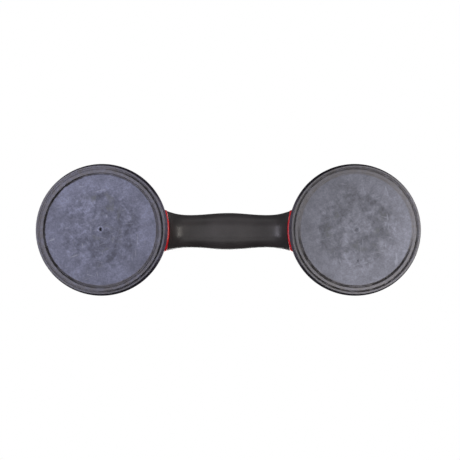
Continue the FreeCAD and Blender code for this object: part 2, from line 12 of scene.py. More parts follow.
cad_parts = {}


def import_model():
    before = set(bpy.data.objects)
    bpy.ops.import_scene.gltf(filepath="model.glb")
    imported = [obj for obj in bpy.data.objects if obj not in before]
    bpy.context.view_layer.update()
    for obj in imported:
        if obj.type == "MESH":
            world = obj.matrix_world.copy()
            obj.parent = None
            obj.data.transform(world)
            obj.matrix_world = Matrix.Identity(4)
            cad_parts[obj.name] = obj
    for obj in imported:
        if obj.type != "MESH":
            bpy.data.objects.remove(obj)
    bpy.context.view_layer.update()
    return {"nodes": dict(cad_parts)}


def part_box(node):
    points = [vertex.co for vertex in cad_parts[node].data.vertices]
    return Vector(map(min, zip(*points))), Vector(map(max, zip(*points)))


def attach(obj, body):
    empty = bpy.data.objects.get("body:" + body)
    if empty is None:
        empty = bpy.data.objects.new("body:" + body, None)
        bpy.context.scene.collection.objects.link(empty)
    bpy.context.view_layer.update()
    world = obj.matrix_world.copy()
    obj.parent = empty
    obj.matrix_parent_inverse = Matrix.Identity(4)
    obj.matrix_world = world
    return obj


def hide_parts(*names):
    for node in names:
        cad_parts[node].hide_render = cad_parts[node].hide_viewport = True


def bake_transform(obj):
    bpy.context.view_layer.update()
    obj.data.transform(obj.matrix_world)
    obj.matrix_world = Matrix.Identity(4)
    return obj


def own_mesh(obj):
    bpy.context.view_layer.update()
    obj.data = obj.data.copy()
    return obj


MM = 0.001
SIDES = {"left": -1, "right": 1}

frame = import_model()

# ---- Sizes taken from the frame ----
pad_low, pad_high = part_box("right_suction_pad")
plate_low, plate_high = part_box("right_insert_plate")
spring_low, spring_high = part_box("right_return_spring")
body_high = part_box("body_frame")[1]
PAD_RADIUS = (pad_high.y - pad_low.y) / 2
HUB_X = (pad_low.x + pad_high.x) / 2
PLATE_RADIUS = (plate_high.y - plate_low.y) / 2
PLATE_UNDERSIDE = plate_low.z
SKIRT_RADIUS = body_high.y

# ---- Rubber pad, as the CAD pad is drawn ----
RIM_LEAN = 2.1 * MM
LIP_WIDTH = 1.5 * MM
OUTER_GROOVE_WIDTH = 1.8 * MM
RIDGE_WIDTH = 2.6 * MM
INNER_GROOVE_WIDTH = 1.9 * MM
GROOVE_DEPTH = 2.0 * MM
GROOVE_TAPER = 0.35 * MM
RIDGE_RECESS = 0.3 * MM
FACE_RECESS = 0.5 * MM
FACE_TOP = PLATE_UNDERSIDE - 0.2 * MM
RIM_WIDEST_HEIGHT = 8.5 * MM
RIM_FLOOR = 7.0 * MM
RIM_INNER_TOP = 10.0 * MM
RIM_INNER_WALL = 2.2 * MM
RIM_FIT = 0.1 * MM
SKIRT_WALL = 3.2 * MM
BEAD_CLEARANCE = 0.3 * MM
BEAD_WIDTH = 2.4 * MM
BEAD_TOP = PLATE_UNDERSIDE + 2.5 * MM
PLATE_WALL = 3.0 * MM           # rubber beyond the plate that still moves with it

LIP_OUTER = PAD_RADIUS - RIM_LEAN
LIP_INNER = LIP_OUTER - LIP_WIDTH
OUTER_GROOVE_INNER = LIP_INNER - OUTER_GROOVE_WIDTH
RIDGE_INNER = OUTER_GROOVE_INNER - RIDGE_WIDTH
FACE_RADIUS = RIDGE_INNER - INNER_GROOVE_WIDTH


# ---- What differs between the two pads ----
# A groove's full is the side of the pad on which it is deep and painted dark with shade, and
# least is what remains of it on the other side. The grooves are a little off centre, by
# ring_shift.
GROOVE_FADE_IN = (-5 * MM, 30 * MM)
# Each pad's face is painted lighter towards one side and darker towards the other, as painted
# light: the side, and the factors on the tone at its two ends.
LOOKS = {
    "left": {
        "tint": (0.116, 0.122, 0.175),
        "ridge": (0.108, 0.101, 0.108),
        "wall": (0.022, 0.020, 0.028),
        "ring_shift": (0.4 * MM, 0.9 * MM),
        "painted_light_side": (-0.45, -0.85, 0),
        "painted_light": (0.90, 1.08),
        "contrast": 0.90,
        "inner_groove": {"full": (-1.0, 0.0), "least": 0.5},
        "outer_groove": {"full": (1.0, 0.1), "least": 0.3},
        "mark": {"shaded_hole": (0.9 * MM, 1.6 * MM), "depth": 1.6 * MM, "dark": 1.0,
                 "halo": 2.4 * MM, "halo_share": 0.50, "halo_height": 0.10 * MM},
        "pip": None,
    },
    "right": {
        "tint": (0.146, 0.150, 0.179),
        "ridge": (0.145, 0.136, 0.136),
        "wall": (0.022, 0.020, 0.025),
        "ring_shift": (-0.5 * MM, 0.5 * MM),
        "painted_light_side": (0.80, 0.60, 0),
        "painted_light": (0.74, 1.26),
        "contrast": 0.66,
        "inner_groove": {"full": (-0.1, 1.0), "least": 0.08},
        "outer_groove": {"full": (0.2, 1.0), "least": 0.65},
        "mark": {"shaded_hole": (1.1 * MM, 1.2 * MM), "depth": 0.5 * MM, "dark": 0.40,
                 "halo": 3.0 * MM, "halo_share": 0.30, "halo_height": 0.28 * MM},
        "pip": (1.4 * MM, 28 * MM),
    },
}


# ---- Mesh helpers ----
ARC_STEPS = 5                   # straight pieces in each rounded corner


def new_object(name, vertices, faces, sharp_angle=40):
    """Object of a smooth-shaded mesh whose edges above sharp_angle degrees stay sharp."""
    mesh = bpy.data.meshes.new(name)
    mesh.from_pydata(vertices, [], faces)
    mesh.polygons.foreach_set("use_smooth", [True] * len(mesh.polygons))
    mesh.set_sharp_from_angle(angle=math.radians(sharp_angle))
    made = bpy.data.objects.new(name, mesh)
    bpy.context.scene.collection.objects.link(made)
    return made


def rounded(corners, step):
    """Open outline through corners (radius, height, corner radius), rounded, in steps."""
    points = []
    for i, (u, v, radius) in enumerate(corners):
        corner = Vector((u, v))
        if radius == 0:
            points.append(corner)
            continue
        before = (Vector(corners[i - 1][:2]) - corner).normalized()
        after = (Vector(corners[i + 1][:2]) - corner).normalized()
        half_angle = before.angle(after) / 2
        reach = radius / math.tan(half_angle)
        centre = corner + (before + after).normalized() * radius / math.sin(half_angle)
        first = corner + before * reach - centre
        last = corner + after * reach - centre
        turn = first.angle_signed(last)
        for j in range(ARC_STEPS + 1):
            angle = -turn * j / ARC_STEPS
            spoke = Matrix.Rotation(angle, 2) @ first
            points.append(centre + spoke)
    dense = [points[0]]
    for point in points[1:]:
        last = dense[-1]
        pieces = max(1, math.ceil((point - last).length / step))
        dense += [last.lerp(point, k / pieces) for k in range(1, pieces + 1)]
    return dense


def turned(name, outline, segments, place):
    """Closed solid of revolution; place(radius, height, angle) gives each point."""
    vertices = [place(outline[0].x, outline[0].y, 0.0)]
    inner = outline[1:-1]
    for point in inner:
        for i in range(segments):
            vertices.append(place(point.x, point.y, 2 * math.pi * i / segments))
    vertices.append(place(outline[-1].x, outline[-1].y, 0.0))
    faces = []
    last = len(vertices) - 1
    last_ring = 1 + (len(inner) - 1) * segments
    for i in range(segments):
        j = (i + 1) % segments
        faces.append((0, 1 + j, 1 + i))
        faces.append((last, last_ring + i, last_ring + j))
    for k in range(len(inner) - 1):
        low, high = 1 + k * segments, 1 + (k + 1) * segments
        for i in range(segments):
            j = (i + 1) % segments
            faces.append((low + i, low + j, high + j, high + i))
    return new_object(name, vertices, faces)


def smoothstep(low, high, value):
    share = min(max((value - low) / (high - low), 0.0), 1.0)
    return share * share * (3 - 2 * share)


def bump_at(distance, width):
    """Smooth bump: 1 at distance 0, 0 from width on."""
    return 1.0 - smoothstep(0.0, width, abs(distance))


# ---- Material helper ----
class Finish:
    """One material's node tree, with short calls for the nodes that it needs."""

    def __init__(self, name, roughness, **shader_values):
        self.material = bpy.data.materials.new(name)
        self.material.use_nodes = True
        self.nodes = self.material.node_tree.nodes
        self.links = self.material.node_tree.links
        self.nodes.clear()
        self.shader = self.nodes.new("ShaderNodeBsdfPrincipled")
        self.output = self.nodes.new("ShaderNodeOutputMaterial")
        self.links.new(self.shader.outputs["BSDF"], self.output.inputs["Surface"])
        self.shader.inputs["Roughness"].default_value = roughness
        for key, value in shader_values.items():
            self.shader.inputs[key.replace("_", " ")].default_value = value
        self.place = self.nodes.new("ShaderNodeTexCoord").outputs["Object"]

    def feed(self, socket, value):
        """Links an output to a socket, or sets a plain value on it."""
        if isinstance(value, bpy.types.NodeSocket):
            self.links.new(value, socket)
        else:
            socket.default_value = value

    def math(self, operation, a, b=0.0, clamp=False):
        node = self.nodes.new("ShaderNodeMath")
        node.operation = operation
        node.use_clamp = clamp
        self.feed(node.inputs[0], a)
        self.feed(node.inputs[1], b)
        return node.outputs[0]

    def moved(self, offset=(0, 0, 0), scale=(1, 1, 1), turn=0.0, place=None):
        """Coordinates turned about Z, shifted, then scaled."""
        place = place or self.place
        for settings in ({"Rotation": (0, 0, turn), "Location": offset}, {"Scale": scale}):
            node = self.nodes.new("ShaderNodeMapping")
            for key, value in settings.items():
                node.inputs[key].default_value = value
            self.feed(node.inputs["Vector"], place)
            place = node.outputs[0]
        return place

    def noise(self, size, detail, roughness=0.55, place=None, distortion=0.0):
        """Noise whose features are about size metres across, from 0 to 1."""
        node = self.nodes.new("ShaderNodeTexNoise")
        node.inputs["Scale"].default_value = 1 / size
        node.inputs["Detail"].default_value = detail
        node.inputs["Roughness"].default_value = roughness
        node.inputs["Distortion"].default_value = distortion
        self.feed(node.inputs["Vector"], place or self.place)
        return node.outputs["Fac"]

    def cells(self, size):
        """Soft-edged cells about size metres across, as the distance from each middle."""
        node = self.nodes.new("ShaderNodeTexVoronoi")
        node.feature = "SMOOTH_F1"
        node.inputs["Scale"].default_value = 1 / size
        self.feed(node.inputs["Vector"], self.place)
        return node.outputs["Distance"]

    def levels(self, value, low, high, to_low=0.0, to_high=1.0):
        """value from low..high stretched to to_low..to_high, smoothly and clamped."""
        node = self.nodes.new("ShaderNodeMapRange")
        node.interpolation_type = "SMOOTHSTEP"
        self.feed(node.inputs["Value"], value)
        node.inputs["From Min"].default_value = low
        node.inputs["From Max"].default_value = high
        node.inputs["To Min"].default_value = to_low
        node.inputs["To Max"].default_value = to_high
        return node.outputs["Result"]

    def ramp(self, value, stops):
        """Colour ramp through stops (position, colour)."""
        node = self.nodes.new("ShaderNodeValToRGB")
        self.feed(node.inputs["Fac"], value)
        elements = node.color_ramp.elements
        for i, (position, colour) in enumerate(stops):
            element = elements[i] if i < 2 else elements.new(position)
            element.position = position
            element.color = (*colour, 1)
        return node.outputs["Color"]

    def mix(self, share, a, b):
        """Colour a, or b as far as share goes."""
        node = self.nodes.new("ShaderNodeMix")
        node.data_type = "RGBA"
        self.feed(node.inputs["Factor"], share)
        for socket, value in ((node.inputs[6], a), (node.inputs[7], b)):
            if not isinstance(value, bpy.types.NodeSocket):
                value = (*value, 1)
            self.feed(socket, value)
        return node.outputs[2]

    def shaded(self, colour, share):
        """Colour made darker or lighter by a factor."""
        node = self.nodes.new("ShaderNodeVectorMath")
        node.operation = "SCALE"
        self.feed(node.inputs[0], colour)
        self.feed(node.inputs["Scale"], share)
        return node.outputs["Vector"]

    def distance(self, place):
        """Distance from the origin of coordinates."""
        node = self.nodes.new("ShaderNodeVectorMath")
        node.operation = "LENGTH"
        self.feed(node.inputs[0], place)
        return node.outputs["Value"]

    def bump(self, height, depth, strength, normal=None):
        """Bump from a 0..1 height that stands for depth metres."""
        node = self.nodes.new("ShaderNodeBump")
        node.inputs["Strength"].default_value = strength
        node.inputs["Distance"].default_value = depth
        self.feed(node.inputs["Height"], height)
        if normal is not None:
            self.feed(node.inputs["Normal"], normal)
        return node.outputs["Normal"]

    def done(self, colour, roughness, normal):
        """The material, once these are fed to its shader; None keeps a plain value."""
        for key, value in (("Base Color", colour), ("Roughness", roughness), ("Normal", normal)):
            if value is not None:
                self.feed(self.shader.inputs[key], value)
        return self.material


def give(material, *names):
    """Puts a material on CAD nodes."""
    for name in names:
        mesh = frame["nodes"][name].data
        mesh.materials.clear()
        mesh.materials.append(material)


# ---- Materials ----
# Streaks on a pad's face: turn about Z, width, the stretch of noise that counts, and what
# the tone is multiplied by at its two ends.
STREAKS = (
    (0.3, 3.6 * MM, (0.36, 0.64), (0.85, 1.15)),
    (1.3, 4.4 * MM, (0.36, 0.64), (0.86, 1.14)),
    (2.3, 2.8 * MM, (0.36, 0.64), (0.86, 1.15)),
    (1.8, 5.0 * MM, (0.60, 0.72), (1.00, 1.20)),
    (0.9, 4.2 * MM, (0.40, 0.28), (1.00, 0.78)),
)
STREAK_STRETCH = 0.36
# Scratches on a pad's face: turn about Z, and the noise that they start at.
SCRATCHES = ((0.25, 0.72), (1.65, 0.705), (2.9, 0.73))
SCRATCH_STRETCH = 0.12
SCRATCH_COLOUR = (0.27, 0.28, 0.33)
OLIVE_PATCHES = (0.105, 0.110, 0.112)
# Painted shade in the grooves.
GROOVE_SHADE = (0.024, 0.021, 0.021)
# Painted shade in the holes of the face's moulding marks.
HOLE_SHADE_COLOUR = (0.010, 0.010, 0.012)
RUBBER_GLOSS = 0.3
WALL_SHADE_WIDENING = 0.6 * MM           # how much wider the wall's painted shade is on the -Y side
HANDLE_SIDE = (46 * MM, 58 * MM)    # where the wall comes to face the handle, and is paler
HANDLE_SIDE_SHADE = 4.0         # how many times paler it is there


class Rubber(Finish):
    """Grey moulded rubber of one pad, in layers about the pad's own axis."""

    def __init__(self, side_name, look):
        super().__init__(f"{side_name}_rubber", roughness=0.6, Specular_IOR_Level=RUBBER_GLOSS)
        self.look = look
        self.inward = -SIDES[side_name]
        self.pad = self.moved(offset=(-SIDES[side_name] * HUB_X, 0, 0))
        self.radius = self.distance(self.moved(scale=(1, 1, 0), place=self.pad))
        shift = [-distance for distance in look["ring_shift"]]
        at_rings = self.moved(offset=(*shift, 0), place=self.pad)
        self.ring_radius = self.distance(self.moved(scale=(1, 1, 0), place=at_rings))

    def towards(self, direction):
        """Distance from the pad's axis along a direction, in metres."""
        node = self.nodes.new("ShaderNodeVectorMath")
        node.operation = "DOT_PRODUCT"
        self.feed(node.inputs[0], self.pad)
        node.inputs[1].default_value = direction
        return node.outputs["Value"]

    def strokes(self, size, stretch, turn, detail=3):
        """Noise drawn out into streaks about size wide, turned about Z."""
        place = self.moved(scale=(stretch, 1, 1), turn=turn)
        return self.noise(size, detail, 0.5, place=place, distortion=0.6)

    def band(self, radius, inner, outer, soft):
        """1 where a radius is between inner and outer, 0 elsewhere, with soft edges."""
        rise = self.levels(radius, inner - soft, inner + soft)
        fall = self.levels(radius, outer - soft, outer + soft)
        return self.math("SUBTRACT", rise, fall, clamp=True)

    def bloom(self):
        """Cloudy face: soft clouds, smears left by handling, and fine speckle."""
        clouds = self.noise(30 * MM, 4, 0.55, distortion=0.5)
        smears = self.levels(self.noise(13 * MM, 4, 0.55, distortion=1.1),
                             0.36, 0.64, 0.86, 1.15)
        for turn, width, span, factors in STREAKS:
            streaks = self.levels(self.strokes(width, STREAK_STRETCH, turn), *span, *factors)
            smears = self.math("MULTIPLY", smears, streaks)
        calm = self.levels(self.radius, PLATE_RADIUS - 2 * MM, PLATE_RADIUS + 5 * MM, 0.0, 0.55)
        rest = self.math("MULTIPLY", smears, self.math("SUBTRACT", 1.0, calm))
        smears = self.math("ADD", rest, self.math("MULTIPLY", calm, 1.04))
        speckle = self.levels(self.noise(1.4 * MM, 3, 0.6), 0.3, 0.7, 0.82, 1.20)
        tone = self.math("MULTIPLY", self.levels(clouds, 0.33, 0.67, 0.82, 1.20), speckle)
        tone = self.math("POWER", self.math("MULTIPLY", tone, smears), self.look["contrast"])
        return self.shaded(self.look["tint"], tone), clouds

    def plate_print(self, base):
        """Darker, patchy print of the plate behind the middle of the face."""
        wander = self.math("MULTIPLY", self.noise(12 * MM, 4), 8 * MM)
        radius = self.math("ADD", self.radius, wander)
        printed = self.levels(radius, PLATE_RADIUS + 5 * MM, PLATE_RADIUS - 1 * MM)
        patchy = self.levels(self.noise(24 * MM, 4, 0.55), 0.42, 0.60, 0.10, 1.0)
        printed = self.math("MULTIPLY", printed, patchy)
        base = self.shaded(base, self.levels(printed, 0.0, 1.0, 1.06, 0.76))
        olive = self.levels(self.noise(11 * MM, 4, 0.6, distortion=0.8), 0.56, 0.66)
        olive = self.math("MULTIPLY", self.math("MULTIPLY", olive, printed), 0.60)
        return self.mix(olive, base, OLIVE_PATCHES)

    def rim(self, base):
        """Brownish bare rubber outside the face, painted shade in both grooves, and a matt wall
        painted near-black with shade, further in on the -Y side and lighter towards the handle.
        """
        worn = self.levels(self.noise(4 * MM, 4), 0.30, 0.70, 0.45, 0.90)
        outside = self.levels(self.radius, FACE_RADIUS - 0.6 * MM, FACE_RADIUS + 0.4 * MM)
        base = self.mix(self.math("MULTIPLY", outside, worn), base, self.look["ridge"])
        ragged = self.noise(3.5 * MM, 5, 0.68)
        wander = self.math("MULTIPLY", self.math("SUBTRACT", ragged, 0.5), 2.2 * MM)
        radius = self.math("ADD", self.ring_radius, wander)
        broken = self.levels(self.noise(7 * MM, 3), 0.36, 0.52, 0.30, 1.0)
        for inner, outer, groove in (
            (FACE_RADIUS - 0.1 * MM, RIDGE_INNER + 0.1 * MM, self.look["inner_groove"]),
            (OUTER_GROOVE_INNER, LIP_INNER - 0.3 * MM, self.look["outer_groove"]),
        ):
            # Painted shade in the groove, broken and ragged, deep on one side of the pad.
            groove_shade = self.math("MULTIPLY", self.band(radius, inner, outer, 0.45 * MM), broken)
            lean = self.towards((*groove["full"], 0))
            depth = self.levels(lean, *GROOVE_FADE_IN, groove["least"])
            groove_shade = self.math("MULTIPLY", groove_shade, depth)
            base = self.mix(self.math("MULTIPLY", groove_shade, 0.92), base, GROOVE_SHADE)
        # Painted shade: the wall is painted near-black, further in on the -Y side, and lighter
        # where it faces the handle.
        shade_widening = self.levels(self.towards((0, -1, 0)), 20 * MM, 55 * MM, 0.0, WALL_SHADE_WIDENING)
        reach = self.math("ADD", self.radius, shade_widening)
        wall = self.levels(reach, LIP_OUTER - 0.2 * MM, LIP_OUTER + 0.6 * MM)
        gloss = self.levels(wall, 0.0, 1.0, RUBBER_GLOSS, 0.0)
        self.feed(self.shader.inputs["Specular IOR Level"], gloss)
        wall_shade_tone = self.levels(self.noise(6 * MM, 5, 0.65), 0.35, 0.65, 0.9, 1.4)
        inward = self.towards((self.inward, 0, 0))
        paler = self.levels(inward, *HANDLE_SIDE, 1.0, HANDLE_SIDE_SHADE)
        wall_shade_tone = self.math("MULTIPLY", wall_shade_tone, paler)
        return self.mix(wall, base, self.shaded(self.look["wall"], wall_shade_tone))

    def shaded_hole(self, base, place, wide, high, dark):
        """Painted shade in a hole: a soft dark spot, wide by high, at a place on the face."""
        at_spot = self.moved(offset=(-place[0], -place[1], 0), place=self.pad)
        spread = self.distance(self.moved(scale=(1 / wide, 1 / high, 0), place=at_spot))
        uneven = self.math("MULTIPLY", self.noise(1.2 * MM, 3), 0.5)
        inside = self.levels(self.math("ADD", spread, uneven), 1.5, 0.9, 0.0, dark)
        return self.mix(inside, base, HOLE_SHADE_COLOUR)

    def middle(self, base):
        """Moulding marks of the face: a hole painted dark with shade in a paler ring, and a pip,
        also painted dark with shade.
        """
        mark, pip = self.look["mark"], self.look["pip"]
        halo = mark["halo"]
        ring = self.band(self.radius, halo - 0.5 * MM, halo + 0.5 * MM, 0.4 * MM)
        paler = self.levels(ring, 0.0, 1.0, 1.0, 1.0 + mark["halo_share"])
        base = self.shaded_hole(self.shaded(base, paler), (0, 0), *mark["shaded_hole"], mark["dark"])
        return base if pip is None else self.shaded_hole(base, pip, 0.9 * MM, 1.7 * MM, 0.35)

    def scratched(self, base):
        """A few short pale scratches."""
        marks = 0.0
        for turn, cut in SCRATCHES:
            line = self.strokes(1.9 * MM, SCRATCH_STRETCH, turn, detail=1)
            line = self.levels(line, cut, cut + 0.05)
            marks = self.math("MAXIMUM", line, marks)
        inside = self.levels(self.radius, FACE_RADIUS - 1 * MM, FACE_RADIUS - 4 * MM)
        marks = self.math("MULTIPLY", marks, inside)
        return self.mix(self.math("MULTIPLY", marks, 0.50), base, SCRATCH_COLOUR), marks


def rubber(side_name, look):
    """Grey moulded rubber: cloudy bloom, the plate's print and scuffs, with painted shade in the
    grooves, on the wall and in the moulding holes, and painted light across the face.
    """
    finish = Rubber(side_name, look)
    base, clouds = finish.bloom()
    base = finish.plate_print(base)
    base = finish.middle(finish.rim(base))
    base, scratches = finish.scratched(base)
    # Painted light: the face is painted lighter towards one side and darker towards the other.
    painted_light = finish.levels(finish.towards(look["painted_light_side"]), -60 * MM, 60 * MM, *look["painted_light"])
    base = finish.shaded(base, painted_light)
    grain = finish.bump(finish.noise(0.6 * MM, 3), 0.03 * MM, 0.5)
    dents = finish.bump(finish.strokes(4 * MM, 0.5, 0.9), 0.08 * MM, 0.5, grain)
    cuts = finish.bump(scratches, 0.04 * MM, 0.4, dents)
    return finish.done(base, finish.levels(clouds, 0.3, 0.7, 0.54, 0.70), cuts)


def red_plastic():
    """Satin moulded ABS with a faint orange peel and handling marks."""
    finish = Finish("red_plastic", roughness=0.34, Specular_IOR_Level=0.4)
    clouds = finish.noise(50 * MM, 4)
    colour = finish.ramp(clouds, (
        (0.3, (0.50, 0.006, 0.012)),
        (0.55, (0.58, 0.008, 0.016)),
        (0.75, (0.64, 0.012, 0.022)),
    ))
    rubbed = finish.levels(finish.noise(11 * MM, 6, 0.7), 0.52, 0.7, 0.30, 0.50)
    peel = finish.bump(finish.noise(1.1 * MM, 3), 0.02 * MM, 0.5)
    scuffs = finish.moved(scale=(0.12, 1, 1), turn=0.6)
    marks = finish.levels(finish.noise(1.3 * MM, 1, place=scuffs), 0.69, 0.75)
    return finish.done(colour, rubbed, finish.bump(marks, 0.02 * MM, 0.3, peel))


def soft_grip():
    """Black soft-touch rubber with a fine leather grain and a little dust."""
    finish = Finish("soft_grip", roughness=0.45, Specular_IOR_Level=0.40)
    clouds = finish.noise(20 * MM, 4)
    colour = finish.ramp(clouds, (
        (0.3, (0.019, 0.017, 0.017)),
        (0.7, (0.032, 0.028, 0.029)),
    ))
    dust = finish.levels(finish.noise(0.9 * MM, 4, 0.7), 0.56, 0.74, 0.0, 0.25)
    colour = finish.mix(dust, colour, (0.130, 0.118, 0.119))
    leather = finish.bump(finish.cells(1.1 * MM), 0.05 * MM, 0.5)
    grain = finish.bump(finish.noise(0.4 * MM, 3), 0.02 * MM, 0.5, leather)
    return finish.done(colour, finish.levels(clouds, 0.3, 0.7, 0.36, 0.44), grain)


def black_nylon():
    """Black glass-filled nylon, spark-eroded texture, a little paler where it is worn."""
    finish = Finish("black_nylon", roughness=0.42)
    worn = finish.noise(14 * MM, 5, 0.6)
    colour = finish.ramp(worn, (
        (0.35, (0.020, 0.020, 0.021)),
        (0.70, (0.036, 0.036, 0.038)),
    ))
    texture = finish.bump(finish.noise(0.5 * MM, 4, 0.7), 0.04 * MM, 0.7)
    return finish.done(colour, finish.levels(worn, 0.3, 0.75, 0.48, 0.36), texture)


def metal(name, colour, roughness, grain_size, stretch, depth):
    """Bare or plated metal: drawn or turned grain and faint stains."""
    finish = Finish(name, roughness=roughness, Metallic=1.0)
    stains = finish.noise(6 * MM, 5, 0.65)
    tone = finish.ramp(stains, (
        (0.3, [c * 0.78 for c in colour]),
        (0.6, colour),
    ))
    drawn = finish.moved(scale=stretch)
    grain = finish.bump(finish.noise(grain_size, 3, place=drawn), depth, 0.6)
    spread = finish.levels(stains, 0.3, 0.7, roughness + 0.12, roughness - 0.05)
    return finish.done(tone, spread, grain)


def floor_paper():
    """Pale floor that fades into the white backdrop, and is seen from above only."""
    finish = Finish("floor_paper", roughness=0.75)
    colour = finish.ramp(finish.noise(250 * MM, 4), (
        (0.3, (0.79, 0.79, 0.78)),
        (0.7, (0.83, 0.83, 0.82)),
    ))
    finish.done(colour, None, finish.bump(finish.noise(2 * MM, 4), 0.05 * MM, 0.3))
    far = finish.levels(finish.distance(finish.place), FLOOR_FADE_START, FLOOR_FADE_END)
    white = finish.nodes.new("ShaderNodeEmission")
    clear = finish.nodes.new("ShaderNodeBsdfTransparent")
    below = finish.nodes.new("ShaderNodeNewGeometry").outputs["Backfacing"]
    seen = finish.shader.outputs["BSDF"]
    for share, other in ((far, white.outputs[0]), (below, clear.outputs["BSDF"])):
        choice = finish.nodes.new("ShaderNodeMixShader")
        finish.feed(choice.inputs[0], share)
        finish.feed(choice.inputs[1], seen)
        finish.feed(choice.inputs[2], other)
        seen = choice.outputs[0]
    finish.feed(finish.output.inputs["Surface"], seen)
    return finish.material


# ---- Suction pads ----
PAD_SEGMENTS = 512
OUTLINE_STEP = 0.45 * MM
TORN_EDGE = 0.42 * MM           # how ragged the face's edge is
ROUGH_EDGE = 0.25 * MM          # how ragged the ridge's outer edge is
PIP_DEPTH = 0.6 * MM
FACE_WAVES = 0.06 * MM
PRINT_DEPTH = 0.05 * MM         # step that the plate behind the rubber leaves in the face
COMB_COUNT = 180                # fine radial marks outside the face
COMB_DEPTH = 0.05 * MM


def pad_outline():
    """Half section of the pad from the middle of its face, round the rim, to its back."""
    channel_outer = SKIRT_RADIUS + RIM_FIT
    channel_inner = SKIRT_RADIUS - SKIRT_WALL - RIM_FIT
    inner_wall = channel_inner - RIM_INNER_WALL
    bead_inner = PLATE_RADIUS + BEAD_CLEARANCE
    bead_outer = bead_inner + BEAD_WIDTH
    groove_top = FACE_RECESS + GROOVE_DEPTH
    ridge_top = RIDGE_RECESS + GROOVE_DEPTH
    corners = [
        (0, FACE_RECESS, 0),
        (FACE_RADIUS, FACE_RECESS, 0.45 * MM),
        (FACE_RADIUS + GROOVE_TAPER, groove_top, 0.3 * MM),
        (RIDGE_INNER - GROOVE_TAPER, groove_top, 0.3 * MM),
        (RIDGE_INNER, RIDGE_RECESS, 0.5 * MM),
        (OUTER_GROOVE_INNER, RIDGE_RECESS, 0.5 * MM),
        (OUTER_GROOVE_INNER + GROOVE_TAPER, ridge_top, 0.3 * MM),
        (LIP_INNER - GROOVE_TAPER, ridge_top, 0.3 * MM),
        (LIP_INNER, 0, 0.15 * MM),
        (LIP_OUTER, 0, 0.4 * MM),
        (PAD_RADIUS, RIM_WIDEST_HEIGHT, 2.0 * MM),
        (PAD_RADIUS - 0.4 * MM, pad_high.z, 0.9 * MM),
        (channel_outer, pad_high.z, 0.5 * MM),
        (channel_outer, RIM_FLOOR, 0),
        (channel_inner, RIM_FLOOR, 0),
        (channel_inner, RIM_INNER_TOP, 0.5 * MM),
        (inner_wall, RIM_INNER_TOP, 0.8 * MM),
        (inner_wall, FACE_TOP, 1.2 * MM),
        (bead_outer, FACE_TOP, 0.6 * MM),
        (bead_outer, BEAD_TOP, 0.6 * MM),
        (bead_inner, BEAD_TOP, 0.4 * MM),
        (bead_inner, FACE_TOP, 0),
        (0, FACE_TOP, 0),
    ]
    return rounded(corners, OUTLINE_STEP)


def pad_relief(side_name):
    """Moulding marks of one pad as a function that moves a point of its section."""
    side = SIDES[side_name]
    look = LOOKS[side_name]
    mark, pip, shift = look["mark"], look["pip"], look["ring_shift"]

    def filled(height, top, groove, across, along):
        """Height of a groove's floor where the groove fades out on one side."""
        if height <= top:
            return height
        start, end = (value / FACE_RADIUS for value in GROOVE_FADE_IN)
        lean = groove["full"][0] * across + groove["full"][1] * along
        share = groove["least"] + (1 - groove["least"]) * smoothstep(start, end, lean)
        return top + (height - top) * share

    def place(radius, height, angle):
        across, along = math.cos(angle), math.sin(angle)
        ring_seed = Vector((across * 9, along * 9, 4 * side))
        if height < GROOVE_DEPTH + FACE_RECESS + 0.2 * MM:
            if radius < FACE_RADIUS + 0.6 * MM:
                torn = noise.fractal(ring_seed * 2.2, 0.9, 2.0, 5) * TORN_EDGE
                radius += torn * bump_at(radius - FACE_RADIUS, 0.9 * MM)
            rough = noise.fractal(ring_seed * 1.3 + Vector((5, 2, 0)), 0.9, 2.0, 4) * ROUGH_EDGE
            radius += rough * bump_at(radius - OUTER_GROOVE_INNER, 0.8 * MM)
            if FACE_RADIUS - 1 * MM < radius < RIDGE_INNER + 0.5 * MM:
                height = filled(height, FACE_RECESS, look["inner_groove"], across, along)
            elif OUTER_GROOVE_INNER - 0.5 * MM < radius < LIP_INNER + 0.2 * MM:
                height = filled(height, RIDGE_RECESS, look["outer_groove"], across, along)
            grooves = bump_at(radius - RIDGE_INNER - 0.5 * MM, LIP_OUTER - RIDGE_INNER - 0.6 * MM)
            radius += (shift[0] * across + shift[1] * along) * grooves
        x, y = radius * across, radius * along
        if height < FACE_RECESS + 0.05 * MM and radius < FACE_RADIUS - 1 * MM:
            hole = math.hypot(x / mark["shaded_hole"][0], y / mark["shaded_hole"][1])
            height += mark["depth"] * (1 - smoothstep(0.75, 1.15, hole))
            height -= mark["halo_height"] * bump_at(radius - mark["halo"], 0.7 * MM)
            if pip is not None:
                gap = math.hypot(x - pip[0], y - pip[1])
                height += PIP_DEPTH * (1 - smoothstep(0.5 * MM, 1.1 * MM, gap))
            height += FACE_WAVES * noise.noise(Vector((x, y, 0.02 * side)) * 60)
            edge = smoothstep(PLATE_RADIUS + 1.5 * MM, PLATE_RADIUS - 1.5 * MM, radius)
            height += PRINT_DEPTH * edge
        if height < 0.6 * MM and radius > FACE_RADIUS:
            comb = math.sin(angle * COMB_COUNT) * noise.noise(ring_seed * 3)
            height += COMB_DEPTH * max(comb, 0)
        return (side * HUB_X + x, y, height)

    return place


def suction_pad(side_name, material):
    """The rubber pad, in place of the CAD pad."""
    relief = pad_relief(side_name)
    pad = turned(f"{side_name}_rubber_pad", pad_outline(), PAD_SEGMENTS, relief)
    pad.data.materials.append(material)
    middle = Vector((SIDES[side_name] * HUB_X, 0, 0))
    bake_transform(pad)
    held, free = PLATE_RADIUS + PLATE_WALL, FACE_RADIUS - 1 * MM
    for vertex in pad.data.vertices:
        radius = (vertex.co.xy - middle.xy).length
        smoothstep(free, held, radius) if vertex.co.z < BEAD_TOP + 1 * MM else 0.0
    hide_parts(f"{side_name}_suction_pad")


# ---- Return springs ----
SPRING_WIRE = 2.2 * MM
SPRING_DEAD_PITCH = 2.3 * MM
SPRING_ACTIVE_TURNS = 2.5
SPRING_STEPS = 320
SPRING_SIDES = 16


